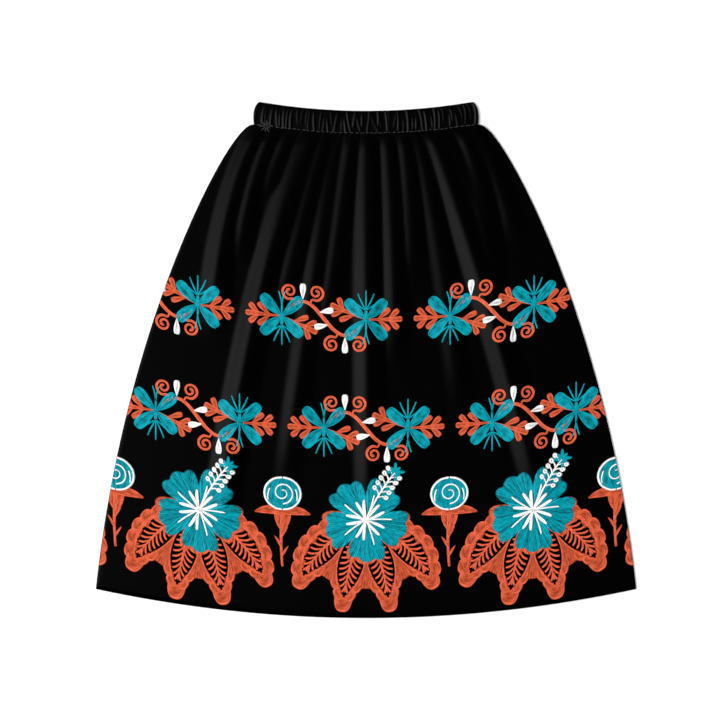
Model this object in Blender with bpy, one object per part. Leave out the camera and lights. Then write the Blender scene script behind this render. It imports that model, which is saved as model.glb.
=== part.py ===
"""A midi skirt laid flat: a front and a back panel gathered into an elastic waistband.

Metres, +Z up. The skirt lies on its back on the plane Z = 0 with its waist towards +Y,
and the origin is under the middle of its outline.
"""

from collections import namedtuple
from math import cos, exp, pi, sin, sqrt

import bmesh
import bpy

# Driving sizes of the skirt laid flat
WAIST_WIDTH = 0.339  # across the relaxed waistband
HEM_WIDTH = 0.810
SIDE_DROP = 0.696  # from the waist seam to the hem, down the side
BAND_DEPTH = 0.034
WAIST_DIP = 0.0135  # the middle of the waist lies this much nearer the hem than its ends
HEM_DIP = 0.0435
CORNER_TUCK = 0.0075  # the band's upper corners are drawn in by this much

# Walls and the gaps between them
CLOTH = 0.0012
BAND_WALL = 0.0024  # the casing's two layers of cloth with the elastic between them
SEAM_GAP = 0.0003
LAYER_GAP = 0.0004

# The side's flare: quick over the hip, then straighter, and easing off to the hem
FLARE_ROOT = 0.440
FLARE_STRAIGHT = 1.020
FLARE_EASE = -0.460

# The front panel climbs to the band's front layer, and is down again this far below it
SEAM_LIFT = 0.0017
LIFT_FADE = 0.020

# Gathers of the waistband, on each side
GATHERS = 40
GATHER_DEPTH = 0.0010
GATHER_FLAT = 0.25  # share of a gather that stays flat, where the band is pressed
STEPS_PER_GATHER = 4

# The back panel's folds lie under the front's, and are this share as high
BACK_FOLD_SHARE = 0.40

# Mesh of the panels
PANEL_COLUMNS = 80
PANEL_ROWS = 16
ROW_CROWDING = 1.35  # above 1 puts more rows near the waist

# A fold swells just below the seam, grows to its full height, and falls away near its end
FOLD_SWELL = 0.050
FOLD_GROWTH = 0.40
FOLD_FALL = 0.65  # share of its reach where it starts to fall away
FOLD_PINCH = 0.5  # how narrow and low the gathered end is, beside the far end
FOLD_SHIFT = 0.5  # the crest lies this share of the half width to the right of the fold's line

# A fold's line runs from a place on the waist seam to one at its far end. Places are shares of
# the half width at that row, reach is a share of the panel's length, height and half_width are
# in metres, and early is the share of its full height that it starts with.
Fold = namedtuple("Fold", "seam end reach height half_width early")
FOLDS = (
    Fold(-0.925, -0.740, 0.46, 0.0051, 0.022, 0.75),
    Fold(-0.800, -0.700, 0.30, 0.0032, 0.016, 0.90),
    Fold(-0.660, -0.660, 0.15, 0.0018, 0.014, 1.00),
    Fold(-0.540, -0.610, 0.97, 0.0060, 0.025, 0.35),
    Fold(-0.370, -0.460, 0.44, 0.0024, 0.018, 0.75),
    Fold(-0.262, -0.355, 0.84, 0.0028, 0.018, 0.30),
    Fold(-0.155, -0.240, 0.50, 0.0029, 0.019, 0.75),
    Fold(-0.035, -0.005, 0.97, 0.0048, 0.024, 0.60),
    Fold(0.135, 0.105, 0.52, 0.0038, 0.020, 0.65),
    Fold(0.270, 0.210, 0.34, 0.0024, 0.018, 1.00),
    Fold(0.375, 0.385, 0.66, 0.0022, 0.018, 0.90),
    Fold(0.485, 0.700, 0.97, 0.0064, 0.026, 0.60),
    Fold(0.745, 0.550, 0.42, 0.0034, 0.024, 1.00),
)

SEAM_SIDE_Y = (SIDE_DROP + HEM_DIP - BAND_DEPTH) / 2
BAND_INNER = LAYER_GAP / 2
BAND_OUTER = BAND_INNER + BAND_WALL

BLACK_CLOTH = (0.006, 0.006, 0.007)
BLACK_BAND = (0.005, 0.005, 0.006)


def smooth(low, high, value):
    """0 below low, 1 above high, and a smooth step between them."""
    t = min(1.0, max(0.0, (value - low) / (high - low)))
    return t * t * (3 - 2 * t)


def half_width(down):
    """Half the panel's width at a row, where down is 0 at the waist seam and 1 at the hem."""
    flare = FLARE_ROOT * sqrt(down) + FLARE_STRAIGHT * down + FLARE_EASE * down * down
    return WAIST_WIDTH / 2 + (HEM_WIDTH - WAIST_WIDTH) / 2 * flare


def plan(across, down):
    """The place of a panel's point seen from above, where across runs from -1 to 1."""
    dip = WAIST_DIP + (HEM_DIP - WAIST_DIP) * down
    y = SEAM_SIDE_Y - SEAM_GAP - (SIDE_DROP - SEAM_GAP) * down - dip * (1 - across * across)
    return across * half_width(down), y


def fold_height(across, down):
    """How far the folds lift the front panel off the back one."""
    height = 0.0
    for fold in FOLDS:
        run = min(1.0, down / fold.reach)
        centre = fold.seam + (fold.end - fold.seam) * run
        pinch = FOLD_PINCH + (1 - FOLD_PINCH) * sqrt(run)
        off = (across - centre) * half_width(down) / (fold.half_width * pinch) - FOLD_SHIFT
        if abs(off) < 1 and run < 1:
            grown = fold.early + (1 - fold.early) * smooth(0, FOLD_GROWTH, down)
            along = grown * pinch * smooth(0, FOLD_SWELL, down) * (1 - smooth(FOLD_FALL, 1, run))
            height = max(height, fold.height * along * cos(pi / 2 * off) ** 2)
    return height


def back_under(across, down):
    x, y = plan(across, down)
    return x, y, BACK_FOLD_SHARE * fold_height(across, down)


def front_under(across, down):
    x, y = plan(across, down)
    lift = SEAM_LIFT * exp(-down * SIDE_DROP / LIFT_FADE)
    return x, y, CLOTH + LAYER_GAP + fold_height(across, down) + lift


def material(name, colour, roughness):
    made = bpy.data.materials.new(name)
    made.use_nodes = True
    shader = made.node_tree.nodes["Principled BSDF"]
    shader.inputs["Base Color"].default_value = (*colour, 1)
    shader.inputs["Roughness"].default_value = roughness
    made.diffuse_color = (*colour, 1)
    return made


def finished(name, mesh, finish):
    """Turns a bmesh into a smooth-shaded object with one material."""
    bmesh.ops.recalc_face_normals(mesh, faces=mesh.faces)
    data = bpy.data.meshes.new(name)
    mesh.to_mesh(data)
    mesh.free()
    data.materials.append(finish)
    data.shade_smooth()
    data.set_sharp_from_angle(angle=pi / 4)
    made = bpy.data.objects.new(name, data)
    bpy.context.scene.collection.objects.link(made)
    return made


def panel(name, under, finish):
    """One panel as a wall of cloth, from its underside up."""
    mesh = bmesh.new()
    layers = []
    for rise in (0, CLOTH):
        rows = []
        for i in range(PANEL_ROWS + 1):
            down = (i / PANEL_ROWS) ** ROW_CROWDING
            row = []
            for j in range(PANEL_COLUMNS + 1):
                x, y, z = under(2 * j / PANEL_COLUMNS - 1, down)
                row.append(mesh.verts.new((x, y, z + rise)))
            rows.append(row)
        layers.append(rows)
    bottom, top = layers
    for i in range(PANEL_ROWS):
        for j in range(PANEL_COLUMNS):
            mesh.faces.new((top[i][j], top[i + 1][j], top[i + 1][j + 1], top[i][j + 1]))
            mesh.faces.new((bottom[i][j], bottom[i][j + 1], bottom[i + 1][j + 1], bottom[i + 1][j]))
    for edge in (0, PANEL_ROWS):
        for j in range(PANEL_COLUMNS):
            mesh.faces.new((top[edge][j], top[edge][j + 1], bottom[edge][j + 1], bottom[edge][j]))
    for edge in (0, PANEL_COLUMNS):
        for i in range(PANEL_ROWS):
            mesh.faces.new((top[i][edge], top[i + 1][edge], bottom[i + 1][edge], bottom[i][edge]))
    bmesh.ops.triangulate(mesh, faces=mesh.faces)
    return finished(name, mesh, finish)


def band_half_width(up):
    """Half the band's width, where up is 0 at the waist seam and 1 at the top edge."""
    return WAIST_WIDTH / 2 - CORNER_TUCK * up**4


def gather_trough(turn):
    """Depth of the gathers at a place along one side of the band, from 0 to 1."""
    uneven = turn + 0.10 / GATHERS * sin(2 * pi * 5.3 * turn + 0.7)
    wave = 0.5 - 0.5 * cos(2 * pi * GATHERS * uneven)
    depth = 0.78 + 0.22 * sin(2 * pi * 7.1 * turn + 1.9)
    return depth * max(0.0, wave - GATHER_FLAT) / (1 - GATHER_FLAT)


def band_stations():
    """Places round the flattened band: (share across, outward direction, gather trough)."""
    stations = []
    steps = GATHERS * STEPS_PER_GATHER
    for i in range(steps + 1):
        turn = i / steps
        stations.append((2 * turn - 1, (0, 1), gather_trough(turn)))
    for angle in (pi / 4, pi / 2, 3 * pi / 4):
        stations.append((1, (sin(angle), cos(angle)), 0))
    for i in range(steps + 1):
        turn = i / steps
        stations.append((1 - 2 * turn, (0, -1), gather_trough(1 - turn)))
    for angle in (pi / 4, pi / 2, 3 * pi / 4):
        stations.append((-1, (-sin(angle), -cos(angle)), 0))
    return stations


def waistband(name, finish):
    """The elastic casing: one flattened ring of cloth, gathered outside and plain inside."""
    # Each row of the wall's outline: height share, whether it is outside, share of the wall,
    # and share of the gathers' depth
    Row = namedtuple("Row", "up outside wall gather")
    rows = (
        Row(0.00, True, 0.70, 0.5),
        Row(0.10, True, 0.94, 0.9),
        Row(0.50, True, 1.00, 1.0),
        Row(0.90, True, 0.94, 0.8),
        Row(1.00, True, 0.55, 0.3),
        Row(1.00, False, 0.0, 0.0),
        Row(0.00, False, 0.0, 0.0),
    )
    mesh = bmesh.new()
    ring = []
    for across, (side, rise), trough in band_stations():
        outline = []
        for row in rows:
            reach = BAND_INNER
            if row.outside:
                reach += BAND_WALL * row.wall - GATHER_DEPTH * trough * row.gather
            x = across * (band_half_width(row.up) - BAND_OUTER) + side * reach
            dip = WAIST_DIP * (1 - across * across)
            y = SEAM_SIDE_Y - dip + BAND_DEPTH * row.up
            outline.append(mesh.verts.new((x, y, BAND_OUTER + rise * reach)))
        ring.append(outline)
    for i, outline in enumerate(ring):
        after = ring[(i + 1) % len(ring)]
        for k in range(len(rows)):
            other = (k + 1) % len(rows)
            mesh.faces.new((outline[k], outline[other], after[other], after[k]))
    bmesh.ops.triangulate(mesh, faces=mesh.faces)
    return finished(name, mesh, finish)


def main():
    for old in list(bpy.data.objects):
        bpy.data.objects.remove(old)
    cloth = material("black_cloth", BLACK_CLOTH, 0.75)
    band_cloth = material("black_band", BLACK_BAND, 0.80)
    panel("back_panel", back_under, cloth)
    panel("front_panel", front_under, cloth)
    waistband("waistband", band_cloth)


main()
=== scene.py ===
"""Looks of the flat-laid skirt: black cloth shells, a gathered waistband and chain-stitched flowers.

Metres, +Z up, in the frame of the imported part. Flowers are drawn in millimetres and laid on the cloth.
"""

from collections import namedtuple
from math import cos, pi, radians, sin, tau

import bpy
import numpy as np
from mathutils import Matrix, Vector


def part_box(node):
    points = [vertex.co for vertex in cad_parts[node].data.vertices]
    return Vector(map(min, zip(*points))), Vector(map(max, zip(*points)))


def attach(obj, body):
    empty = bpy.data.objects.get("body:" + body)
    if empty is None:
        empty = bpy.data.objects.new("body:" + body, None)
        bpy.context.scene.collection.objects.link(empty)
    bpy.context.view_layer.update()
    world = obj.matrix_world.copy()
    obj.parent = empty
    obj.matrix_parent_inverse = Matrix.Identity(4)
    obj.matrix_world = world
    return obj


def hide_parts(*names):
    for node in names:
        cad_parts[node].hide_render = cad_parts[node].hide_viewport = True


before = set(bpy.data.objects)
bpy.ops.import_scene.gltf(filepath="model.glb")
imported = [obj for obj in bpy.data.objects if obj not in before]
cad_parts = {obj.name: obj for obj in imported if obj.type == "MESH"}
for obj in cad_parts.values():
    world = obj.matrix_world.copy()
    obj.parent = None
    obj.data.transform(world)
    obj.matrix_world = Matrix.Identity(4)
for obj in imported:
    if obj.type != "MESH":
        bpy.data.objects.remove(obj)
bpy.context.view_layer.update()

MM = 0.001
BODY = "root"

# Form of the cloth, as the part has it
WAIST_HALF = 0.1695
HEM_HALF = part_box("front_panel")[1].x
SIDE_DROP = 0.696
BAND_DEPTH = 0.034
WAIST_DIP = 0.0135
HEM_DIP = 0.0435
CORNER_TUCK = 0.0075
SEAM_SIDE_Y = (SIDE_DROP + HEM_DIP - BAND_DEPTH) / 2
CLOTH = 0.0012
LAYER_GAP = 0.0004
BAND_WALL = 0.0024
BAND_INNER = LAYER_GAP / 2
BAND_OUTER = BAND_INNER + BAND_WALL
FLARE_ROOT = 0.440
FLARE_STRAIGHT = 1.020
FLARE_EASE = -0.460
SEAM_LIFT = 0.0017
LIFT_FADE = 0.020
GATHERS = 40
BACK_FOLD_SHARE = 0.40
FOLD_GROWTH = 0.40
FOLD_FALL = 0.65
FOLD_SHIFT = 0.5

# Near the waist the shell's folds swell sooner and stay broader than the part's
SWELL_START = -0.010
FOLD_SWELL = 0.035
FOLD_PINCH = 0.72

# A fold: its places on the waist seam and at its end as shares of the half width, its reach as a
# share of the panel's length, its height and half width, and the share of its height it starts with
Fold = namedtuple("Fold", "seam end reach height half_width early")
FOLDS = (
    Fold(-0.925, -0.740, 0.46, 0.0051, 0.022, 0.75),
    Fold(-0.800, -0.700, 0.30, 0.0032, 0.016, 0.90),
    Fold(-0.660, -0.660, 0.15, 0.0018, 0.014, 1.00),
    Fold(-0.540, -0.610, 0.97, 0.0060, 0.025, 0.35),
    Fold(-0.370, -0.460, 0.44, 0.0024, 0.018, 0.75),
    Fold(-0.262, -0.355, 0.84, 0.0028, 0.018, 0.30),
    Fold(-0.155, -0.240, 0.50, 0.0029, 0.019, 0.75),
    Fold(-0.035, -0.005, 0.97, 0.0048, 0.024, 0.60),
    Fold(0.135, 0.105, 0.52, 0.0038, 0.020, 0.65),
    Fold(0.270, 0.210, 0.34, 0.0024, 0.018, 1.00),
    Fold(0.375, 0.385, 0.66, 0.0022, 0.018, 0.90),
    Fold(0.485, 0.700, 0.97, 0.0064, 0.026, 0.60),
    Fold(0.745, 0.550, 0.42, 0.0034, 0.024, 1.00),
)

# Low folds between the main ones, which the solid part leaves out
SOFT_FOLDS = (
    Fold(-0.460, -0.520, 0.30, 0.0017, 0.013, 0.9),
    Fold(0.610, 0.640, 0.36, 0.0020, 0.017, 1.0),
    Fold(0.860, 0.800, 0.28, 0.0018, 0.014, 1.0),
)
FULLER = 1.40  # how much higher the shell's folds are than the solid's
WIDER = 1.32  # how much wider they are
ROUNDING = 2.2  # the lower, the rounder the valleys between the folds
NARROWEST = 0.020  # half width of the narrowest fold, before it is made wider

# The shells' walls
SHELL_COLUMNS, SHELL_ROWS = 330, 120
BACK_COLUMNS, BACK_ROWS = 150, 110
ROW_CROWDING = 1.4
SHELL_WALL = 0.0010
BACK_WALL = 0.0006
SIDE_ROLL = 0.0005
SIDE_ROLL_WIDTH = 0.004
PUCKERS = 1.4 * GATHERS
PUCKER_HEIGHT = 0.0007
PUCKER_FADE = 0.0055
# The tack at the left end of the waist seam: its place on the seam, and its stitches' directions
# and lengths
TACK_AT = -0.885
TACK = (
    (8, 0.010), (52, 0.008), (84, 0.010), (128, 0.009), (176, 0.011),
    (222, 0.009), (262, 0.008), (300, 0.010), (338, 0.007),
)
PINCH_REACH = 0.0080
PINCH_HEIGHT = 0.0010

# Thread
ROW = 2.9  # width of a row of chain stitch, in millimetres
STEP = 2.4  # spacing of points along a row, in millimetres
RELIEF = 0.55  # how far a row stands off the cloth, in millimetres
LAYER = 0.22  # extra height of each layer of stitching over the one below
SINK = 0.25  # how far the edge of a stitched shape reaches into the cloth
BACK_RELIEF = 0.2  # the skirt's weight presses the thread under it down to this share
ROW_PHASES = (0.0, 0.3, 0.7)  # places of the points across a row
# The crowns also set the thread's painted shade: the grooves between rows are painted darker
ROW_CROWNS = (0.0, 1.0, 1.0)  # how high they stand, from groove to crown
ROW_TONES = (0.0, 0.35, 0.7, 0.85)  # from the deep to the bright shade of a thread
STRIPE_TONES = (1.15, 0.05)  # the same for shaded shapes, whose rows alternate
POINT_FIELDS = 7  # x, y, height, crown, tone, length along its row, and row
THREAD_CLEARANCE = 0.00005  # the lowest that thread reaches above the floor
STITCH_CLEARANCE = 0.00004
rng = np.random.default_rng(7)

# The camera's view, in pixels of the photograph
PHOTO_SCALE = 1.5  # millimetres of cloth in a pixel
PHOTO_WIDTH = 720
RIGHT_OF_MIDDLE = 6  # the skirt's middle lies this far right of the photo's


def smooth(low, high, value):
    t = np.clip((value - low) / (high - low), 0, 1)
    return t * t * (3 - 2 * t)


def half_width(down):
    down = np.maximum(down, 0)
    flare = FLARE_ROOT * np.sqrt(down) + FLARE_STRAIGHT * down + FLARE_EASE * down * down
    return WAIST_HALF + (HEM_HALF - WAIST_HALF) * flare


def dip_at(down):
    return WAIST_DIP + (HEM_DIP - WAIST_DIP) * down


def plan(across, down):
    """Where a point of a panel lies seen from above."""
    y = SEAM_SIDE_Y - SIDE_DROP * down - dip_at(down) * (1 - across**2)
    return across * half_width(down), y


def unplan(x, y):
    """The panel's own coordinates (across, down) of a place seen from above."""
    down = np.clip((SEAM_SIDE_Y - y) / SIDE_DROP, 0, 1.2)
    for _ in range(12):
        across = x / half_width(down)
        bend = dip_at(down) * (1 - across**2)
        down = np.clip((SEAM_SIDE_Y - bend - y) / SIDE_DROP, 0, 1.2)
    return x / half_width(down), down


def fold_height(across, down):
    """How high the folds stand. Where two meet, the sum of powers rounds the valley between them."""
    powers = np.zeros(np.broadcast(across, down).shape)
    for fold in FOLDS + SOFT_FOLDS:
        run = np.minimum(1.0, down / fold.reach)
        centre = fold.seam + (fold.end - fold.seam) * run
        narrowing = FOLD_PINCH + (1 - FOLD_PINCH) * np.sqrt(run)
        broader = max(1.0, NARROWEST / fold.half_width)
        reach = WIDER * broader * fold.half_width * narrowing
        off = (across - centre) * half_width(down) / reach - FOLD_SHIFT / (WIDER * broader)
        off = np.minimum(1, np.abs(off))
        grown = fold.early + (1 - fold.early) * smooth(0, FOLD_GROWTH, down)
        along = grown * smooth(SWELL_START, FOLD_SWELL, down) * (1 - smooth(FOLD_FALL, 1, run))
        height = FULLER * broader * fold.height * along
        powers += (height * np.cos(pi / 2 * off) ** 2 / MM) ** ROUNDING
    return powers ** (1 / ROUNDING) * MM


def pucker(across, down):
    """Small gathers just below the waist seam, which die out within a few centimetres."""
    turn = (across + 1) / 2
    wave = 0.5 + 0.5 * np.cos(tau * (PUCKERS * turn + 0.45 * np.sin(tau * 6.3 * turn)))
    length = PUCKER_FADE * (1 + 0.6 * np.sin(tau * 9.7 * turn + 1.0))
    strength = 1 - 0.55 * smooth(0.30, 0.60, turn)
    return PUCKER_HEIGHT * strength * wave * np.exp(-down * SIDE_DROP / length)


def pinch(x, y):
    """Creases that run out from the tack."""
    x = x - TACK_AT * WAIST_HALF
    y = y - SEAM_SIDE_Y + WAIST_DIP * (1 - TACK_AT**2)
    crease = (0.5 + 0.5 * np.cos(6 * np.arctan2(y, x) + 0.6)) ** 1.5
    return PINCH_HEIGHT * crease * np.exp(-(x**2 + y**2) / PINCH_REACH**2)


def side_roll(across, down):
    """How far the cloth turns down at the side seam."""
    edge = (1 - np.abs(across)) * half_width(down)
    return SIDE_ROLL * (1 - smooth(0, SIDE_ROLL_WIDTH, edge))


def front_top(across, down):
    """Height of the front panel's outer face."""
    lift = SEAM_LIFT * np.exp(-down * SIDE_DROP / LIFT_FADE)
    form = 2 * CLOTH + LAYER_GAP + fold_height(across, down) + lift
    return form + pucker(across, down) + pinch(*plan(across, down)) - side_roll(across, down)


def back_bottom(across, down):
    """Height of the back panel's outer face, which leaves room for the thread under it."""
    clear = (RELIEF + 4 * LAYER) * MM * smooth(0.0, 0.06, down)
    return BACK_FOLD_SHARE * fold_height(across, down) + np.minimum(clear, CLOTH - BACK_WALL)


def mesh_object(name, points, faces, smooth_shaded=True):
    """An object from numpy arrays of points and of four-cornered faces."""
    mesh = bpy.data.meshes.new(name)
    mesh.vertices.add(len(points))
    mesh.vertices.foreach_set("co", np.ascontiguousarray(points, np.float32).ravel())
    mesh.loops.add(faces.size)
    mesh.loops.foreach_set("vertex_index", np.ascontiguousarray(faces, np.int32).ravel())
    mesh.polygons.add(len(faces))
    mesh.polygons.foreach_set("loop_start", np.arange(0, faces.size, 4, dtype=np.int32))
    mesh.polygons.foreach_set("use_smooth", np.full(len(faces), smooth_shaded))
    mesh.update(calc_edges=True)
    mesh.validate()
    made = bpy.data.objects.new(name, mesh)
    bpy.context.scene.collection.objects.link(made)
    return made


def grid_faces(rows, columns, closed=False):
    """Faces of a grid of points stored row by row. A closed grid joins its last row to its first."""
    index = np.arange(rows * columns).reshape(rows, columns)
    if closed:
        index = np.vstack([index, index[:1]])
    corners = (index[:-1, :-1], index[1:, :-1], index[1:, 1:], index[:-1, 1:])
    return np.stack(corners, -1).reshape(-1, 4)


def wall_of_panel(name, outer, inner, columns, rows, up):
    """A closed thin wall between two height functions of a panel."""
    down = (np.linspace(0, 1, rows + 1) ** ROW_CROWDING)[:, None]
    across = np.linspace(-1, 1, columns + 1)[None, :]
    across, down = np.broadcast_arrays(across, down)
    x, y = plan(across, down)
    layers = [np.stack([x, y, f(across, down)], -1).reshape(-1, 3) for f in (outer, inner)]
    count = len(layers[0])
    face = grid_faces(rows + 1, columns + 1)
    index = np.arange(count).reshape(rows + 1, columns + 1)
    loop = np.concatenate([index[0, :-1], index[:-1, -1], index[-1, :0:-1], index[:0:-1, 0]])
    ahead = np.roll(loop, -1)
    rim = np.stack([loop, ahead, ahead + count, loop + count], -1)
    faces = np.vstack([face, face[:, ::-1] + count, rim])
    if not up:
        faces = faces[:, ::-1]
    return mesh_object(name, np.vstack(layers), faces)


def front_shell():
    def inner(across, down):
        return front_top(across, down) - SHELL_WALL

    return wall_of_panel("front_cloth", front_top, inner, SHELL_COLUMNS, SHELL_ROWS, True)


def back_shell():
    def inner(across, down):
        return back_bottom(across, down) + BACK_WALL

    return wall_of_panel("back_cloth", back_bottom, inner, BACK_COLUMNS, BACK_ROWS, False)


# One gather of the band: its place along the side, its lean, its ends up the band, its height and
# its width
Gather = namedtuple("Gather", "place lean low high height width")
DRAWN_GATHERS = GATHERS + 10  # more than the part has, since some of them are low


def band_gathers(seed):
    """The uneven gathers along one side of the band."""
    draw = np.random.default_rng(seed)
    gathers = []
    for i in range(DRAWN_GATHERS):
        place = (i + 0.5 + draw.uniform(-0.40, 0.40)) / DRAWN_GATHERS
        middle = float(np.exp(-(((place - 0.55) / 0.18) ** 2)))
        lean = draw.normal(-0.25 * middle, 0.30 + 0.45 * middle) / GATHERS
        low = draw.choice((-0.15, -0.15, 0.10, 0.30))
        high = draw.choice((1.15, 1.15, 0.85, 0.60))
        height = draw.uniform(0.35, 1.0)
        gathers.append(Gather(place, lean, low, high, height, draw.uniform(0.13, 0.24)))
    return gathers


def gather_crest(gathers, turn, up):
    """How far the cloth stands up at a place of the band, from 0 in a trough to 1 on a crest."""
    crest = 0.0
    for g in gathers:
        off = (turn - g.place - g.lean * (up - 0.5)) * GATHERS / g.width
        ends = smooth(g.low - 0.12, g.low + 0.10, up) * (1 - smooth(g.high - 0.12, g.high + 0.12, up))
        crest = max(crest, g.height * ends * float(np.exp(-off * off)))
    return crest


# Outline of the band's wall: height share, reach share from the ring's middle, share of the crests
BandRow = namedtuple("BandRow", "up wall crest")
BAND_ROWS = (
    BandRow(0.000, 0.50, 0.30),
    BandRow(0.025, 0.56, 0.55),
    BandRow(0.050, 0.62, 0.75),
    BandRow(0.090, 0.70, 0.90),
    BandRow(0.150, 0.80, 1.00),
    BandRow(0.230, 0.88, 1.00),
    BandRow(0.340, 0.97, 1.00),
    BandRow(0.460, 1.00, 1.00),
    BandRow(0.580, 1.00, 1.00),
    BandRow(0.700, 0.98, 1.00),
    BandRow(0.810, 0.93, 1.00),
    BandRow(0.900, 0.83, 0.95),
    BandRow(0.955, 0.68, 0.80),
    BandRow(0.988, 0.46, 0.55),
    BandRow(1.000, 0.15, 0.20),
)
CREST = 0.0012
FRONT_GATHERS = band_gathers(11)
BACK_GATHERS = band_gathers(23)


def band_point(across, side, rise, gathers, row):
    """A point of the band's outer face. side and rise point away from the ring's middle."""
    crest = gather_crest(gathers, (across + 1) / 2, row.up) if side == 0 else 0.4
    reach = BAND_INNER + BAND_WALL * row.wall - CREST * 0.75 * row.crest + CREST * crest * row.crest
    reach = min(max(reach, BAND_INNER + 0.0003), BAND_OUTER + (0.0006 if rise > 0 else 0))
    half = WAIST_HALF - CORNER_TUCK * row.up**4 - BAND_OUTER
    y = SEAM_SIDE_Y - WAIST_DIP * (1 - across**2) + BAND_DEPTH * row.up
    if rise > 0:
        reach += float(pinch(across * half, y))
    return across * half + side * reach, y, BAND_OUTER + rise * reach


def band_shell():
    """The elastic casing as one flattened ring, gathered on its outside."""
    steps = 12 * GATHERS
    turns = np.linspace(-1, 1, steps + 1)
    stations = [(t, 0, 1, FRONT_GATHERS) for t in turns]
    ends = np.linspace(0, pi, 9)[1:-1]
    stations += [(1, sin(a), cos(a), FRONT_GATHERS) for a in ends]
    stations += [(t, 0, -1, BACK_GATHERS) for t in turns[::-1]]
    stations += [(-1, -sin(a), -cos(a), BACK_GATHERS) for a in ends]
    points = []
    for across, side, rise, gathers in stations:
        for row in BAND_ROWS:
            points.append(band_point(across, side, rise, gathers, row))
        half = WAIST_HALF - BAND_OUTER
        for up, tuck in ((1, CORNER_TUCK), (0, 0)):
            y = SEAM_SIDE_Y - WAIST_DIP * (1 - across**2) + BAND_DEPTH * up
            x = across * (half - tuck) + side * BAND_INNER
            points.append((x, y, BAND_OUTER + rise * BAND_INNER))
        points.append(points[-len(BAND_ROWS) - 2])
    columns = len(BAND_ROWS) + 3
    faces = grid_faces(len(stations), columns, closed=True)
    return mesh_object("waistband_cloth", np.array(points), faces)


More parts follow.
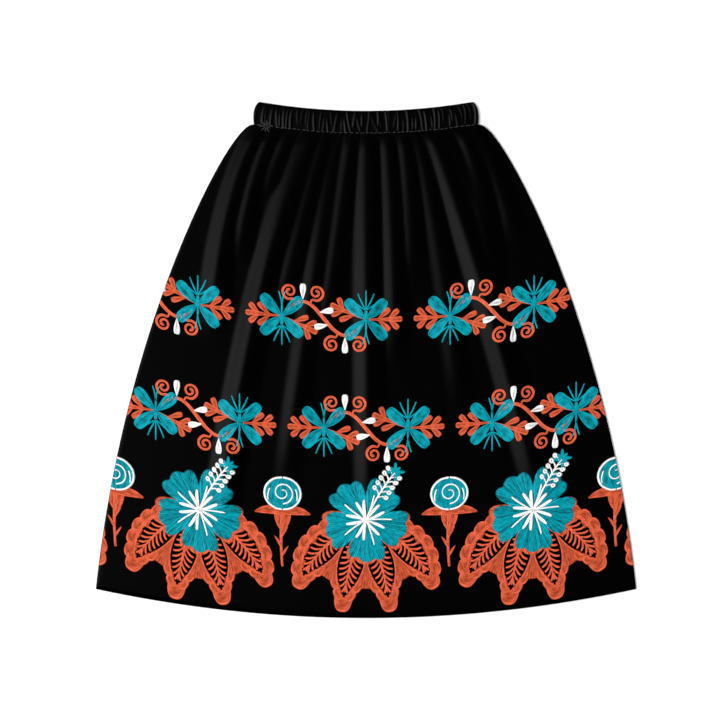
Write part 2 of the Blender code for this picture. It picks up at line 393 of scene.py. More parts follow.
class Stitching:
    """Stitched shapes of one band of flowers on one side, gathered by thread colour."""

    def __init__(self, coarseness=1.0):
        self.row = ROW * coarseness
        self.step = STEP * coarseness
        self.shade = 0.0  # how much darker the rows of the next shapes are
        self.shapes = {}

    def shape(self, colour, points, layer, rows):
        """Adds a grid of flat points, along then across, with that many rows of stitches across it."""
        length, width = points.shape[:2]
        crown = np.tile(ROW_CROWNS, rows + 1)[:width]
        crown = np.broadcast_to(crown, (length, width)).copy()
        along = np.linalg.norm(np.diff(points, axis=0), axis=2)
        along = np.vstack([np.zeros(width), np.cumsum(along, axis=0)])
        row_index = np.arange(width) / len(ROW_PHASES)
        span = np.linalg.norm(np.diff(points, axis=1), axis=2).sum(axis=1)[:, None] / rows
        rise = RELIEF * (0.30 + 0.70 * crown) * np.minimum(1, span / (0.6 * ROW))
        height = rise + LAYER * layer
        # The edges sink into the cloth, and their crown of -1 gives each shape a rim of painted shade
        for edge in (np.s_[:, 0], np.s_[:, -1], np.s_[0, :], np.s_[-1, :]):
            height[edge] = -SINK
            crown[edge] = -1.0
        tones = rng.choice(ROW_TONES, rows + 1)
        if self.shade:
            tones = np.where(np.arange(rows + 1) % 2, *STRIPE_TONES) * rng.uniform(0.6, 1.0, rows + 1)
            tones *= 1 - self.shade
        tones[[0, rows - 1, rows]] = 1 - 0.3 * self.shade
        tones = tones[(row_index + 0.01).astype(int)]
        tones = np.broadcast_to(tones, crown.shape)
        row_index = np.broadcast_to(row_index, crown.shape)
        data = np.stack([points[..., 0], points[..., 1], height, crown, tones, along, row_index], -1)
        self.shapes.setdefault(colour, []).append(data)

    def columns(self, width):
        """The rows that fit a width in millimetres, and the places of their points across it."""
        rows = max(1, round(width / self.row))
        places = [(r + p) / rows for r in range(rows) for p in ROW_PHASES] + [1.0]
        return rows, np.array(places)

    def between(self, colour, first, second, layer):
        """A shape between two lines of points, with rows that run along them."""
        rows, places = self.columns(np.linalg.norm(second - first, axis=1).max())
        mix = places[None, :, None]
        self.shape(colour, first[:, None, :] * (1 - mix) + second[:, None, :] * mix, layer, rows)

    def ribbon(self, colour, spine, half, layer):
        """A shape along a spine, with a half width at each of its points."""
        normal = normals(spine)
        self.between(colour, spine - normal * half[:, None], spine + normal * half[:, None], layer)

    def stroke(self, colour, points, widths, layer):
        """A line of stitches with round ends, whose width follows a list from end to end."""
        spine, t = curve(points, self.step * 0.8)
        total = np.linalg.norm(np.diff(spine, axis=0), axis=1).sum()
        far = 0.6 * t + 0.4 * (1 - np.cos(pi * t)) / 2
        spine = np.stack([np.interp(far, t, spine[:, k]) for k in range(2)], -1)
        half = np.interp(far, np.linspace(0, 1, len(widths)), widths) / 2
        nearest = np.minimum(np.minimum(far, 1 - far) * total + 0.15, half)
        self.ribbon(colour, spine, np.sqrt(2 * half * nearest - nearest**2), layer)

    def petal(self, colour, base, angle, length, width, layer, bend=0.0, narrow=0.9, blunt=0.38):
        """A petal or drop. bend turns its tip, narrow shapes its foot and blunt its tip."""
        count = max(7, round(length / self.step))
        t = (1 - np.cos(pi * np.linspace(0, 1, count))) / 2
        spine = arc_line(base, angle, length, bend, t)
        peak = narrow / (narrow + blunt)
        full = peak**narrow * (1 - peak) ** blunt
        half = width / 2 * np.maximum(t, 1e-4) ** narrow * np.maximum(1 - t, 1e-4) ** blunt / full
        self.ribbon(colour, spine, half, layer)

    def fan(self, colour, base, petal, layer):
        """A broad petal with a lobed edge, whose rows spread from its foot."""
        rows, places = self.columns(1.5 * petal.length * radians(petal.spread))
        f = 2 * places - 1
        rounded = 0.34 + 0.66 * np.cos(pi / 2 * np.abs(f) ** 2.6) ** 0.42
        lobed = 1 - LOBE_DEPTH * (1 - np.abs(np.sin(pi / 2 * petal.lobes * (f + 1))))
        reach = petal.length * (1 + petal.lopsided * f) * rounded * lobed
        count = max(9, round(petal.length / self.step / 1.2))
        t = np.linspace(0.03, 1, count)[:, None]
        turn = radians(petal.angle) + radians(petal.spread) * f * (0.62 + 0.38 * t**0.8)
        points = np.stack([np.cos(turn), np.sin(turn)], -1) * (t * reach)[..., None] + np.array(base)
        self.shape(colour, points, layer, rows)

    def ring(self, colour, centre, width, depth, angle, thickness, layer):
        """A small closed loop of thread."""
        points = []
        for turn in range(0, 421, 30):
            ahead, aside = polar((0, 0), turn, 0.5)
            points.append(polar(polar(centre, angle, ahead * depth), angle + 90, aside * width))
        self.stroke(colour, points, (thickness, thickness), layer)

    def scallop(self, colour, base, angle, width, depth, layer):
        """A rounded lobe stitched in arcs about the middle of its foot."""
        rows, places = self.columns(0.30 * width + 0.26 * depth)
        radius = 0.10 + 0.90 * places
        count = max(9, round((width + depth) * 0.8 / self.step))
        turn = np.radians(np.linspace(-SCALLOP_OPENING, SCALLOP_OPENING, count))[:, None]
        ahead = np.sign(np.cos(turn)) * np.abs(np.cos(turn)) ** 0.75 * radius * depth
        aside = np.sign(np.sin(turn)) * np.abs(np.sin(turn)) ** 0.75 * radius * width / 2
        a = radians(angle)
        points = np.stack([ahead * cos(a) - aside * sin(a), ahead * sin(a) + aside * cos(a)], -1)
        self.shape(colour, points + np.array(base), layer, rows)


def normals(spine):
    tangent = np.gradient(spine, axis=0)
    tangent /= np.linalg.norm(tangent, axis=1)[:, None] + 1e-9
    return np.stack([-tangent[:, 1], tangent[:, 0]], -1)


def arc_line(base, angle, length, bend, t):
    """Points at shares t of a line that turns evenly by a bend."""
    fine = np.linspace(0, 1, 65)
    turn = radians(angle) + radians(bend) * (fine - 0.5)
    steps = np.stack([np.cos(turn), np.sin(turn)], -1)[:-1] * length / 64
    line = np.array(base, float) + np.vstack([[0, 0], np.cumsum(steps, axis=0)])
    return np.stack([np.interp(t, fine, line[:, k]) for k in range(2)], -1)


def curve(points, step):
    """A smooth line through points, spaced evenly, and each point's share of its length."""
    p = np.array(points, float)
    wide = np.vstack([2 * p[0] - p[1], p, 2 * p[-1] - p[-2]])
    t = np.linspace(0, len(p) - 1, 16 * (len(p) - 1) + 1)
    i = np.minimum(t.astype(int), len(p) - 2)
    f = (t - i)[:, None]
    a, b, c, d = (wide[i + k] for k in range(4))
    line = 0.5 * (2 * b + (c - a) * f + (2 * a - 5 * b + 4 * c - d) * f**2 + (3 * b - a - 3 * c + d) * f**3)
    far = np.concatenate([[0], np.cumsum(np.linalg.norm(np.diff(line, axis=0), axis=1))])
    count = max(7, round(far[-1] / step) + 1)
    at = np.linspace(0, far[-1], count)
    spaced = np.stack([np.interp(at, far, line[:, k]) for k in range(2)], -1)
    return spaced, at / far[-1]


def respaced(points, count):
    """A smooth line through points as a fixed number of even steps."""
    line, t = curve(points, 1.0)
    even = np.linspace(0, 1, count)
    return np.stack([np.interp(even, t, line[:, k]) for k in range(2)], -1)


def shifted(points, origin):
    return [(x + origin[0], y + origin[1]) for x, y in points]


def polar(origin, angle, distance):
    a = radians(angle)
    return origin[0] + distance * cos(a), origin[1] + distance * sin(a)


def spiral(centre, radius, start, turns, turn_way, inner=0.13):
    """Points of a scroll that winds in from its rim."""
    points = []
    for i in range(17):
        t = i / 16
        points.append(polar(centre, start + turn_way * 360 * turns * t, radius * (1 - (1 - inner) * t)))
    return points


# Sizes of the motifs, in millimetres and degrees. Widths of a line follow it from end to end.

STEM_WIDTHS = (2.4, 4.2, 5.8, 9.0, 9.6)
FINGER_WIDTHS = (4.0, 6.4, 9.2, 8.8)
FINGER_SPREAD = 44

HALF_REPEAT = 63  # half the distance between two flowers of a garland
VINE_HEIGHT = 24
VINE_WIDTHS = (3.0, 5.0, 5.6, 6.0, 6.6, 6.0, 5.6, 5.0, 3.0)
SCROLL_RADIUS = 12.5
SCROLL_TURNS = 1.7
SCROLL_WIDTHS = (2.6, 4.2, 4.4, 4.2, 3.8, 3.6, 3.8, 5.4)
SPRIG_LENGTHS = (55, 58)  # the outer sprig of a flower and the one under the vine
SPRIG_LEAN = 22
HAIR_SPREAD = 26

# A petal of the hibiscus: direction, length, half its spread, lobes along its edge, and how much
# longer its left side is
Broad = namedtuple("Broad", "angle length spread lobes lopsided")
PETALS = 5
LOBES = 3
LOBE_DEPTH = 0.09
PETAL_LENGTH = 65
PETAL_SPREAD = 37
UNDER_PETAL_LENGTH = 69
RAYS = 15
COLUMN_LENGTH = 84
COLUMN_ANGLE = 58
COLUMN_BEND = -18
BEAD_PAIRS = 5

# A leaf of the fan: foot, direction, length, width and bend
FanLeaf = namedtuple("FanLeaf", "foot angle length width bend")
LEAVES = 4
LEAF_ANGLE = 28  # between one leaf and the next
LEAF_LENGTH = 98
LEAF_WIDTH = 38
RIBS = 10
RIB_SLANT = 0.10  # how far a rib runs towards the leaf's tip, as a share of its length
LEAF_POINTS = 41

# A scallop: its leaf, its side (-1 right, 0 the tip, 1 left), place along the leaf, width, depth
# and how far it leans out from the leaf's direction
Scallop = namedtuple("Scallop", "leaf side place width depth lean")
OUTER_SCALLOP = (29, 18, 76)
INNER_SCALLOP = (22, 13, 64)
TIP_SCALLOP = (28, 26, 0)
SCALLOP_OPENING = 96

ROSE_HALF_WIDTH = 27
ROSE_HALF_HEIGHT = 24
ROSE_STEM = 80


def sprig(st, base, angle, length):
    """A leaf sprig: even pairs of round-ended fingers on a thickening stem."""
    st.shade = 0.6
    stem = arc_line(base, angle, length, 0, np.array([0.06, 0.3, 0.55, 0.8, 1.0]))
    st.stroke("orange", stem, STEM_WIDTHS, 1)
    for pair in range(2):
        foot = polar(base, angle, length * (0.34 + 0.28 * pair))
        for side in (-1, 1):
            facing = angle + FINGER_SPREAD * side
            line = arc_line(foot, facing, 24 - 3 * pair, -8 * side, np.linspace(0, 1, 4))
            st.stroke("orange", line, FINGER_WIDTHS, 0)
    st.shade = 0.0


def garland_flower(st, centre, up):
    """Four teal petals in a cross, a tuft of five fine hairs that points up, and two hairs below."""
    tuft = polar(centre, up, 14)
    st.stroke("teal", [centre, tuft], (7.0, 5.0), 1)
    for out in (-2, -1, 0, 1, 2):
        length = 30 - 2 * abs(out)
        facing = up - HAIR_SPREAD * out
        st.petal("teal", tuft, facing, length, 3.0, 1, 12 * out, narrow=0.2, blunt=0.2)
    for side in (-1, 1):
        st.petal("teal", centre, up + 180 + 8 * side, 38, 3.0, 1, 28 * side, narrow=0.2, blunt=0.2)
    for quarter in range(4):
        st.petal("teal", centre, up + 45 + 90 * quarter, 42, 18, 2, 12 if quarter % 2 else -12)
    st.petal("teal", (centre[0] - 5, centre[1]), 0, 10, 8, 3, narrow=0.5, blunt=0.5)


def vine_point(x):
    """A point of the vine, x millimetres from the flower on its left."""
    return x, VINE_HEIGHT * sin(pi * x / HALF_REPEAT)


def garland_unit(st, left):
    """One repeat of a garland, the same when it is turned half round: two flowers on a wavy vine."""
    hanging, upright = (left, 0), (left + 2 * HALF_REPEAT, 0)
    vine = [vine_point(2 * HALF_REPEAT * t) for t in np.linspace(0.04, 0.96, 9)]
    st.stroke("orange", shifted(vine, hanging), VINE_WIDTHS, 1)
    middle = HALF_REPEAT / 2
    drops = ((middle, VINE_HEIGHT + 2, 90, 25), (HALF_REPEAT - 7, 9, 12, 22))
    for flower, way, turn in ((hanging, 1, 0), (upright, -1, 180)):
        for side in (-1, 1):
            centre = (middle + 20 * side, VINE_HEIGHT + 14)
            scroll = spiral(centre, SCROLL_RADIUS, -90 - 30 * side, SCROLL_TURNS, side)
            foot = vine_point(middle + 11 * side)
            turned = [(way * x, way * y) for x, y in [foot] + scroll]
            st.stroke("orange", shifted(turned, flower), SCROLL_WIDTHS, 1)
        for x, y, angle, length in drops:
            foot = (flower[0] + way * x, flower[1] + way * y)
            st.petal("white", foot, angle + turn, length, 10, 3, narrow=1.0, blunt=0.30)
        sprig(st, flower, 180 + turn, SPRIG_LENGTHS[0])
        sprig(st, flower, -SPRIG_LEAN + turn, SPRIG_LENGTHS[1])
    garland_flower(st, hanging, -90)
    garland_flower(st, upright, 90)


def fan_leaves(x):
    """Leaves fanned evenly below a hibiscus, whose tips bend down."""
    leaves = []
    for k in range(LEAVES):
        aside = k - (LEAVES - 1) / 2
        foot = (x + 20 * aside, -28 + 8 * abs(aside))
        facing = -90 + LEAF_ANGLE * aside
        leaves.append(FanLeaf(foot, facing, LEAF_LENGTH, LEAF_WIDTH, -20 * aside))
    return leaves


def fan_scallops():
    """Scallops: five down each outer side, two on each inner one, and one round each tip."""
    scallops = []
    for leaf in range(LEAVES):
        for side in (-1, 1):
            outer = (leaf, side) in ((0, -1), (LEAVES - 1, 1))
            places = np.linspace(0.2, 0.9, 5) if outer else (0.76, 0.91)
            for place in places:
                scallops.append(Scallop(leaf, side, place, *(OUTER_SCALLOP if outer else INNER_SCALLOP)))
        scallops.append(Scallop(leaf, 0, 0.95, *TIP_SCALLOP))
    return scallops


def leaf_edges(leaf, margin=0.0):
    """The midrib of a fan leaf and its right and left edges."""
    t = np.linspace(0, 1, LEAF_POINTS)
    spine = arc_line(leaf.foot, leaf.angle, leaf.length, leaf.bend, t)
    half = leaf.width / 2 * np.sin(pi * np.clip(0.2 + 0.8 * t, 0, 1) ** 1.15) ** 0.9
    aside = normals(spine) * (margin + half)[:, None]
    return spine, spine - aside, spine + aside


def along_line(line, place):
    """The point at a share of a line's points."""
    index = np.arange(len(line))
    return np.array([np.interp(place * index[-1], index, line[:, k]) for k in range(2)])


def fan_leaf(st, leaf):
    """An open leaf: a midrib, curved ribs that stop short of the edge, and an outline."""
    spine, right, left = leaf_edges(leaf)
    for line in leaf_edges(leaf, 1.2)[1:]:
        st.stroke("orange", line[::5], (2.2, 2.5, 2.5, 2.2), 1.4)
    for edge in (right, left):
        for i in range(RIBS):
            root = 0.08 + 0.82 * (i + 0.5) / RIBS
            tip = root + RIB_SLANT + 0.04 * root
            if tip > 0.94:
                continue
            start = along_line(spine, root)
            middle = along_line(spine, tip)
            end = middle + 0.88 * (along_line(edge, tip) - middle)
            ahead = along_line(spine, min(1, root + 0.06)) - start
            ahead *= 0.14 * np.linalg.norm(end - start) / np.linalg.norm(ahead)
            st.stroke("orange", [start, 0.5 * (start + end) + ahead, end], (2.6, 3.6, 4.0, 3.5), 0)
    st.stroke("orange", spine[: int(0.95 * LEAF_POINTS) : 4], (6.4, 6.0, 4.4, 3.0, 2.2), 1)


def leaf_fan(st, x):
    """Open leaves on a ground of stitching that ends in scallops all round."""
    leaves = fan_leaves(x)
    edges = [leaf_edges(leaf) for leaf in leaves]
    st.shade = 0.6
    for near, far in zip(edges[:-1], edges[1:]):
        cut = slice(2, int(0.84 * LEAF_POINTS))
        st.between("orange", near[2][cut], far[1][cut], 0.7)
    width = 6 * np.sin(pi * np.linspace(0.1, 1, LEAF_POINTS))[:, None]
    first, last = edges[0][1], edges[-1][2]
    st.between("orange", (first - normals(first) * width)[1:-1], first[1:-1], 0.7)
    st.between("orange", last[1:-1], (last + normals(last) * width)[1:-1], 0.7)
    for number, s in enumerate(fan_scallops()):
        leaf = leaves[s.leaf]
        line = edges[s.leaf][(0, 2, 1)[s.side]]
        facing = leaf.angle + leaf.bend * (s.place - 0.5) + s.side * s.lean
        base = polar(along_line(line, s.place), facing, -1.0)
        st.scallop("orange", base, facing, s.width, s.depth, 0.35 * (number % 2))
    st.shade = 0.0
    for leaf in leaves:
        fan_leaf(st, leaf)


def hibiscus(st, x):
    """An even hibiscus over a fan of leaves, with a star of rays and a beaded column.

    The lower petals have orange ones under them, which show as a rim.
    """
    leaf_fan(st, x)
    for k in range(PETALS):
        angle = 54 + 360 * k / PETALS
        if sin(radians(angle)) < 0.5:
            under = Broad(angle, UNDER_PETAL_LENGTH, PETAL_SPREAD, LOBES, 0.0)
            st.fan("orange", (x, 0), under, 0.8 + 0.05 * k)
        petal = Broad(angle, PETAL_LENGTH, PETAL_SPREAD, LOBES, 0.06)
        st.fan("teal", (x, 0), petal, 3.0 + 0.7 * k)
    for i in range(RAYS):
        angle = 360 * i / RAYS
        length, width = (39, 3.8) if i % 3 == 0 else (30, 5.4)
        bend = 14 if i % 2 else -14
        foot = polar((x, 0), angle, 1)
        st.petal("white", foot, angle, length, width, 9, bend, narrow=0.5, blunt=0.28)
    st.petal("white", (x - 6, 0), 0, 12, 11, 10, narrow=0.5, blunt=0.5)
    column = arc_line((x, 0), COLUMN_ANGLE, COLUMN_LENGTH, COLUMN_BEND, np.linspace(0.05, 1, 9))
    st.stroke("white", column, (4.2, 4.0, 3.6, 3.2), 10)
    for side in (-1, 1):
        for i in range(BEAD_PAIRS):
            root = along_line(column, 0.42 + 0.11 * i + (0.05 if side > 0 else 0))
            facing = COLUMN_ANGLE + 60 * side
            middle = polar(root, facing, 13)
            st.stroke("white", [root, polar(root, facing - 14 * side, 7), middle], (3.0, 2.8, 2.8), 9)
            st.ring("white", middle, 4.2, 6.0, facing, 4.0, 10)
    for k in range(8):
        st.petal("teal", column[-1], 45 * k, 11 if k % 2 else 15, 6.0, 10, narrow=0.5, blunt=0.6)


def rose(st, x, y):
    """A round rosebud: a teal bloom with a white rim and spiral, two sepals and a leafy stem."""
    st.shade = 0.5
    stem = arc_line((x, y - 30), -90, ROSE_STEM, 12, np.linspace(0, 1, 6))
    st.stroke("orange", stem, (7.0, 5.4, 4.2, 4.2), 1)
    for k in range(3):
        side = 1 if k % 2 else -1
        foot = along_line(stem, 0.45 + 0.18 * k)
        st.petal("orange", foot, 90 + 32 * side, 20, 4.6, 1, 14 * side, narrow=0.5, blunt=0.9)
    st.petal("orange", (x, y - 20), -90, 38, 26, 0.5, narrow=0.35, blunt=0.80)
    for side in (-1, 1):
        facing = -4 if side > 0 else 184
        sepal = arc_line((x - 3 * side, y - 27), facing, 46, -34 * side, np.linspace(0, 1, 5))
        st.stroke("orange", sepal, (11, 14, 14, 10, 1.5), 1.0 + 0.1 * side)
    st.shade = 0.0
    rims = []
    for side in (-1, 1):
        half = []
        for a in np.linspace(0, pi, 9):
            half.append((x + ROSE_HALF_WIDTH * side * sin(a), y - ROSE_HALF_HEIGHT * cos(a)))
        rims.append(respaced(half, 24))
    st.between("teal", rims[0], rims[1], 4)
    st.stroke("white", spiral((x, y + 1), 17, -90, 1.6, 1, inner=0.2), (3.4, 3.2, 3.0, 2.8), 7)
    for side in (-1, 1):
        foot = polar((x, y), -90 + 62 * side, 24)
        crease = arc_line(foot, 90 + 8 * side, 20, 44 * side, np.linspace(0, 1, 5))
        st.stroke("white", crease, (2.8, 3.2, 2.8), 7)
    for rim in rims:
        st.stroke("white", rim, (3.6, 3.9, 3.9, 3.6), 8)


# A band of flowers: where its line lies at the panel's middle, how far it rises to the sides at
# its reach, and where one of its upright flowers or hibiscus lies, in millimetres from the middle
Band = namedtuple("Band", "name middle rise reach flower_at")
UPPER = Band("upper_garland", 0.0605, 0.034, 0.307, 0)
LOWER = Band("lower_garland", -0.1028, 0.035, 0.360, HALF_REPEAT)
HEM_ROW = Band("hem_flowers", -0.2396, 0.0366, 0.390, 0)
GARLAND_REPEAT = 4 * HALF_REPEAT
HEM_REPEAT = 250
ROSE_RISE = 36


def lay_on_band(band, a, b):
    """Plan of points in millimetres: along a band's curved line, and straight up from it."""
    x = a * MM
    return x, band.middle + band.rise * (x / band.reach) ** 2 + b * MM


SIDE_MARGIN = 0.0006  # the thread stops this far inside the panel's edges


def stitched_object(band, colour, shapes, front):
    """One object of all the shapes of a colour, laid on the cloth and cut off at the panel's edges."""
    points, faces, count = [], [], 0
    for data in shapes:
        points.append(data.reshape(-1, POINT_FIELDS))
        face = grid_faces(*data.shape[:2]) + count
        flat = data[..., :2]
        first = flat[1:, 1:] - flat[:-1, :-1]
        second = flat[:-1, 1:] - flat[1:, :-1]
        turn = (first[..., 0] * second[..., 1] - first[..., 1] * second[..., 0]).sum()
        faces.append(face if turn > 0 else face[:, ::-1])
        count += len(points[-1])
    points, faces = np.vstack(points), np.vstack(faces)
    x, y = lay_on_band(band, points[:, 0], points[:, 1])
    across, down = unplan(x, y)
    limit = 1 - SIDE_MARGIN / half_width(down)
    low = 1 - SIDE_MARGIN / SIDE_DROP
    outside = (np.abs(across) > limit) | (down > low)
    keep = ~outside[faces].all(axis=1)
    across = np.clip(across, -limit, limit)
    down = np.minimum(down, low)
    x, y = plan(across, down)
    height = points[:, 2] * MM
    if front:
        z = front_top(across, down) + height
    else:
        x = -x
        z = np.maximum(back_bottom(-across, down) - height * BACK_RELIEF, THREAD_CLEARANCE)
    faces = faces[keep]
    used, index = np.unique(faces, return_inverse=True)
    faces = index.reshape(faces.shape)
    name = f"{band.name}_{colour}_{'front' if front else 'back'}"
    made = mesh_object(name, np.stack([x, y, z], -1)[used], faces)
    mesh = made.data
    for label, column in (("crown", 3), ("tone", 4)):
        attribute = mesh.attributes.new(label, "FLOAT", "POINT")
        attribute.data.foreach_set("value", points[used, column].astype(np.float32))
    corners = np.zeros(len(mesh.loops), np.int32)
    mesh.loops.foreach_get("vertex_index", corners)
    uv = mesh.uv_layers.new(name="stitch_rows")
    uv.data.foreach_set("uv", points[used][corners][:, 5:7].astype(np.float32).ravel())
    return made


def stitched_band(band, front, coarseness):
    """The objects of one band of flowers on one side, each with its thread colour."""
    st = Stitching(coarseness)
    if band is HEM_ROW:
        for k in range(-2, 3):
            x = band.flower_at + HEM_REPEAT * k
            hibiscus(st, x)
            rose(st, x + HEM_REPEAT / 2, ROSE_RISE)
    else:
        for k in range(-2, 3):
            garland_unit(st, band.flower_at - 2 * HALF_REPEAT + GARLAND_REPEAT * k)
    made = []
    for colour, shapes in st.shapes.items():
        made.append((stitched_object(band, colour, shapes, front), colour))
    return made


def seam_surface(x, y, gathers, front):
    """Height of the outer face of the band or, below the waist seam, of the panel."""
    across = x / (WAIST_HALF - BAND_OUTER)
    up = (y - SEAM_SIDE_Y + WAIST_DIP * (1 - across**2)) / BAND_DEPTH
    if up < 0:
        return float((front_top if front else back_bottom)(*unplan(x, y)))
    ups, walls, crests = zip(*BAND_ROWS)
    row = BandRow(up, np.interp(up, ups, walls), np.interp(up, ups, crests))
    return float(band_point(across, 0, 1 if front else -1, gathers, row)[2])


def one_stitch(start, angle, length, radius, gathers, front):
    """A stitch of thick thread that lies on the cloth, as a grid of five by five points."""
    points = []
    for j in range(5):
        x, y = polar(start, angle, length * j / 4)
        z = seam_surface(x, y, gathers, front)
        swell = radius * sin(pi * (j + 0.35) / 4.7)
        for k in range(5):
            turn = pi * k / 4
            lift = swell * sin(turn) - 0.00012
            side_x, side_y = polar((x, y), angle + 90, 1.2 * swell * cos(turn))
            points.append((side_x, side_y, z + lift if front else max(z - lift, STITCH_CLEARANCE)))
    return points


def seam_stitches(name, gathers, front):
    """The uneven stitches along the waist seam, and the star of stitches that tacks its left end."""
    draw = np.random.default_rng(31)
    points = []
    start = -0.985
    while start < 0.96:
        length = draw.uniform(0.0028, 0.0080)
        y = SEAM_SIDE_Y - WAIST_DIP * (1 - start**2) + draw.uniform(0.0003, 0.0013)
        x = start * (WAIST_HALF - BAND_OUTER)
        angle = np.degrees(np.arctan(2 * WAIST_DIP * (start + 0.02) / WAIST_HALF))
        points += one_stitch((x, y), angle, length, 0.00050, gathers, front)
        start += (length + draw.uniform(0.0006, 0.0030)) / WAIST_HALF
    tack = (TACK_AT * WAIST_HALF, SEAM_SIDE_Y - WAIST_DIP * (1 - TACK_AT**2))
    for angle, length in TACK if front else ():
        points += one_stitch(polar(tack, angle, 0.0005), angle, length, 0.00048, gathers, front)
    faces = np.vstack([grid_faces(5, 5) + 25 * i for i in range(len(points) // 25)])
    return mesh_object(name, np.array(points), faces[:, ::-1] if front else faces)


# Materials

BLACK = (0.0001,) * 3
SOFT_BLACK = (0.0003,) * 3
CLOTH_ROUGHNESS = 0.345
CLOTH_THREADS = 1500.0  # a metre

# A thread: its bright and deep rows, the colour of the painted shade in the grooves between its rows and
# round the edges of a shape, and how strongly that painted shade shows
Thread = namedtuple("Thread", "bright deep dark groove")
THREADS = {
    "teal": Thread((0.001, 0.352, 0.435), (0.0, 0.095, 0.120), (0.0, 0.02, 0.03), 0.85),
    "orange": Thread((0.74, 0.125, 0.056), (0.24, 0.029, 0.006), (0.13, 0.013, 0.003), 0.85),
    "white": Thread((0.96, 0.95, 0.94), (0.36, 0.35, 0.35), (0.36, 0.34, 0.34), 0.6),
}


def node_group(name, inputs, outputs):
    group = bpy.data.node_groups.new(name, "ShaderNodeTree")
    for label, kind, value in inputs:
        socket = group.interface.new_socket(label, in_out="INPUT", socket_type=f"NodeSocket{kind}")
        socket.default_value = value
    for label, kind in outputs:
        group.interface.new_socket(label, in_out="OUTPUT", socket_type=f"NodeSocket{kind}")
    return group, group.nodes.new("NodeGroupInput"), group.nodes.new("NodeGroupOutput")


def maths(tree, operation, first, second=None):
    node = tree.nodes.new("ShaderNodeMath")
    node.operation = operation
    for socket, value in zip(node.inputs, (first, second)):
        if value is None:
            continue
        if isinstance(value, (int, float)):
            socket.default_value = value
        else:
            tree.links.new(value, socket)
    return node.outputs[0]


def weave_group():
    """Plain weave: a height of crossing threads and a mask of slight unevenness."""
    group, given, out = node_group(
        "plain_weave",
        [("Threads per metre", "Float", 1600.0), ("Unevenness", "Float", 0.3)],
        [("Height", "Float"), ("Mottle", "Float")],
    )
    place = group.nodes.new("ShaderNodeTexCoord")
    split = group.nodes.new("ShaderNodeSeparateXYZ")
    group.links.new(place.outputs["Object"], split.inputs[0])
    waves = []
    for axis in (0, 1):
        turns = maths(group, "MULTIPLY", split.outputs[axis], given.outputs[0])
        waves.append(maths(group, "SINE", maths(group, "MULTIPLY", turns, tau)))
    cross = maths(group, "MULTIPLY", waves[0], waves[1])
    noise = group.nodes.new("ShaderNodeTexNoise")
    noise.inputs["Scale"].default_value = 90.0
    noise.inputs["Detail"].default_value = 3.0
    group.links.new(place.outputs["Object"], noise.inputs["Vector"])
    uneven = maths(group, "MULTIPLY", noise.outputs["Fac"], given.outputs[1])
    group.links.new(maths(group, "ADD", cross, uneven), out.inputs[0])
    group.links.new(noise.outputs["Fac"], out.inputs[1])
    return group


def chain_stitch_group():
    """Chain stitch along rows: a height of linked loops, and a mask that is 0 where painted shade darkens
    the grooves and the edges of a shape.
    """
    group, given, out = node_group(
        "chain_stitch",
        [("Stitch length", "Float", 3.0), ("Groove", "Float", 0.8)],
        [("Height", "Float"), ("Unshaded", "Float"), ("Tone", "Float")],
    )
    uv = group.nodes.new("ShaderNodeUVMap")
    uv.uv_map = "stitch_rows"
    split = group.nodes.new("ShaderNodeSeparateXYZ")
    group.links.new(uv.outputs[0], split.inputs[0])
    across = maths(group, "FRACT", split.outputs[1])
    lean = maths(group, "ABSOLUTE", maths(group, "SUBTRACT", across, 0.5))
    along = maths(group, "DIVIDE", split.outputs[0], given.outputs[0])
    phase = maths(group, "ADD", along, maths(group, "MULTIPLY", lean, 1.3))
    wave = maths(group, "ABSOLUTE", maths(group, "SINE", maths(group, "MULTIPLY", phase, pi)))
    crown = group.nodes.new("ShaderNodeAttribute")
    crown.attribute_name = "crown"
    tone = group.nodes.new("ShaderNodeAttribute")
    tone.attribute_name = "tone"
    # Painted shade: the thread is painted darker in the grooves between rows and round the edges of a shape
    shade = group.nodes.new("ShaderNodeMapRange")
    shade.inputs["From Min"].default_value = -0.5
    shade.inputs["From Max"].default_value = 0.8
    group.links.new(maths(group, "SUBTRACT", 1.0, given.outputs[1]), shade.inputs["To Min"])
    shade.inputs["To Max"].default_value = 1.0
    group.links.new(crown.outputs["Fac"], shade.inputs["Value"])
    group.links.new(maths(group, "POWER", wave, 0.6), out.inputs[0])
    group.links.new(shade.outputs[0], out.inputs[1])
    stretch = group.nodes.new("ShaderNodeVectorMath")
    stretch.operation = "MULTIPLY"
    stretch.inputs[1].default_value = (0.10, 0.9, 1.0)
    group.links.new(uv.outputs[0], stretch.inputs[0])
    streak = group.nodes.new("ShaderNodeTexNoise")
    streak.inputs["Scale"].default_value = 1.0
    streak.inputs["Detail"].default_value = 2.0
    group.links.new(stretch.outputs[0], streak.inputs["Vector"])
    sharper = group.nodes.new("ShaderNodeMapRange")
    sharper.inputs["From Min"].default_value = 0.38
    sharper.inputs["From Max"].default_value = 0.56
    group.links.new(streak.outputs["Fac"], sharper.inputs["Value"])
    half_tone = maths(group, "MULTIPLY", tone.outputs["Fac"], 0.5)
    half_streak = maths(group, "MULTIPLY", sharper.outputs[0], 0.5)
    group.links.new(maths(group, "ADD", half_tone, half_streak), out.inputs[2])
    return group


def new_material(name, colour, roughness, specular):
    made = bpy.data.materials.new(name)
    made.use_nodes = True
    made.diffuse_color = (*colour, 1)
    shader = made.node_tree.nodes["Principled BSDF"]
    shader.inputs["Base Color"].default_value = (*colour, 1)
    shader.inputs["Roughness"].default_value = roughness
    shader.inputs["Specular IOR Level"].default_value = specular
    return made, made.node_tree, shader


def placed_group(tree, group):
    node = tree.nodes.new("ShaderNodeGroup")
    node.node_tree = group
    return node


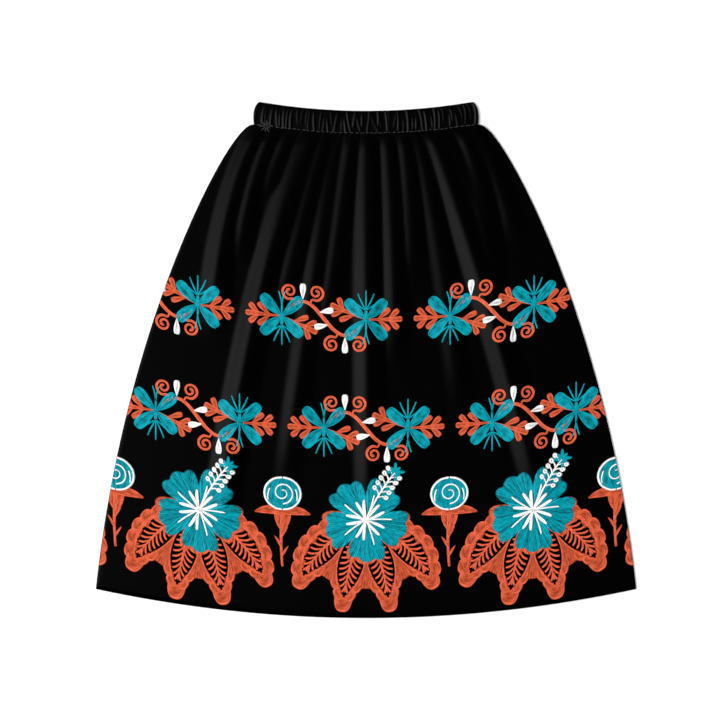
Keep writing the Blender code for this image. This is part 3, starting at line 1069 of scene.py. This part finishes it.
def mixed(tree, factor, first, second):
    node = tree.nodes.new("ShaderNodeMix")
    node.data_type = "RGBA"
    tree.links.new(factor, node.inputs["Factor"])
    for socket, value in ((node.inputs["A"], first), (node.inputs["B"], second)):
        if isinstance(value, tuple):
            socket.default_value = (*value, 1)
        else:
            tree.links.new(value, socket)
    return node.outputs["Result"]


def bumped(tree, shader, height, distance, strength=1.0):
    bump = tree.nodes.new("ShaderNodeBump")
    bump.inputs["Distance"].default_value = distance
    bump.inputs["Strength"].default_value = strength
    tree.links.new(height, bump.inputs["Height"])
    tree.links.new(bump.outputs[0], shader.inputs["Normal"])


def woven_black(name, group, shine):
    """Black woven cloth with a soft shine on its folds."""
    made, tree, shader = new_material(name, BLACK, CLOTH_ROUGHNESS, shine)
    weave = placed_group(tree, group)
    weave.inputs["Threads per metre"].default_value = CLOTH_THREADS
    colour_out = mixed(tree, weave.outputs["Mottle"], BLACK, SOFT_BLACK)
    tree.links.new(colour_out, shader.inputs["Base Color"])
    bumped(tree, shader, weave.outputs["Height"], 0.000012, 0.5)
    return made


def thread(name, group, look):
    """Embroidery thread: bright and deep rows of chain stitch, with painted shade in the grooves between
    them and round the edges of each shape.
    """
    made, tree, shader = new_material(name, look.bright, 0.55, 0.06)
    stitch = placed_group(tree, group)
    stitch.inputs["Groove"].default_value = look.groove
    toned = mixed(tree, stitch.outputs["Tone"], look.deep, look.bright)
    # Painted shade: the darker colour is mixed in where the chain-stitch mask is low
    shaded = mixed(tree, stitch.outputs["Unshaded"], look.dark, toned)
    tree.links.new(shaded, shader.inputs["Base Color"])
    bumped(tree, shader, stitch.outputs["Height"], 0.00025, 0.7)
    return made


def plain_material(name, colour, roughness):
    made, _, _ = new_material(name, colour, roughness, 0.2)
    return made


def area_light(name, place, size, power, shines):
    """A soft light that faces the skirt. Where shines is false the cloth doesn't mirror it."""
    data = bpy.data.lights.new(name, "AREA")
    data.shape = "RECTANGLE"
    data.size, data.size_y = size
    data.energy = power
    light = bpy.data.objects.new(name, data)
    light.location = place
    aim = -np.array(place, float)
    light.visible_glossy = shines
    light.rotation_mode = "QUATERNION"
    light.rotation_quaternion = Vector(aim).to_track_quat("-Z", "Y")
    bpy.context.scene.collection.objects.link(light)
    return light


def studio():
    """A pale floor, soft light and the camera straight above the skirt."""
    size = 30.0
    corners = np.array([[-1, -1, 0], [1, -1, 0], [1, 1, 0], [-1, 1, 0]], float) * size
    corners[:, 2] = -0.0002
    floor = mesh_object("floor", corners, np.array([[0, 1, 2, 3]]), False)
    floor.data.materials.append(plain_material("pale_floor", (0.90, 0.90, 0.90), 0.9))
    area_light("left_key", (-4.2, 0.0, 4.6), (4.0, 4.0), 560, True)
    area_light("far_fill", (1.2, 6.4, 2.6), (4.0, 2.4), 175, False)
    area_light("near_fill", (1.2, -6.4, 2.6), (4.0, 2.4), 175, False)
    area_light("right_fill", (6.6, 0.0, 2.4), (4.0, 2.4), 175, False)
    world = bpy.data.worlds.new("room")
    world.use_nodes = True
    world.node_tree.nodes["Background"].inputs[0].default_value = (1, 1, 1, 1)
    world.node_tree.nodes["Background"].inputs[1].default_value = 0.10
    bpy.context.scene.world = world
    data = bpy.data.cameras.new("camera")
    data.lens = 100
    data.sensor_width = 36
    camera = bpy.data.objects.new("camera", data)
    frame_width = PHOTO_WIDTH * PHOTO_SCALE * MM
    height = frame_width / 2 / (data.sensor_width / 2 / data.lens)
    camera.location = (-RIGHT_OF_MIDDLE * PHOTO_SCALE * MM, 0, height)
    bpy.context.scene.collection.objects.link(camera)
    bpy.context.scene.camera = camera
    bpy.context.scene.view_settings.view_transform = "Standard"


def main():
    studio()
    weave = weave_group()
    stitch = chain_stitch_group()
    cloth = woven_black("black_cloth", weave, 0.032)
    band_cloth = woven_black("band_cloth", weave, 0.060)
    threads = {}
    for colour, look in THREADS.items():
        threads[colour] = thread(f"{colour}_thread", stitch, look)
    seam_thread = plain_material("seam_thread", (0.045, 0.045, 0.048), 0.45)

    pieces = []
    front = front_shell()
    front.data.materials.append(cloth)
    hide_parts("front_panel")
    pieces.append((front, "skirt_cloth"))
    back = back_shell()
    back.data.materials.append(cloth)
    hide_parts("back_panel")
    pieces.append((back, "skirt_cloth"))
    band = band_shell()
    band.data.materials.append(band_cloth)
    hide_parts("waistband")
    pieces.append((band, "band_cloth"))
    for side, gathers in (("front", FRONT_GATHERS), ("back", BACK_GATHERS)):
        line = seam_stitches(f"seam_stitches_{side}", gathers, side == "front")
        line.data.materials.append(seam_thread)
        pieces.append((line, "thread_seam"))
    flowers = {True: [], False: []}
    for on_front, coarseness in ((True, 1.0), (False, 1.6)):
        for flower_band in (UPPER, LOWER, HEM_ROW):
            for made, colour in stitched_band(flower_band, on_front, coarseness):
                made.data.materials.append(threads[colour])
                pieces.append((made, f"thread_{colour}"))
                flowers[on_front].append(made)
    for made, slot in pieces:
        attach(made, BODY)


main()
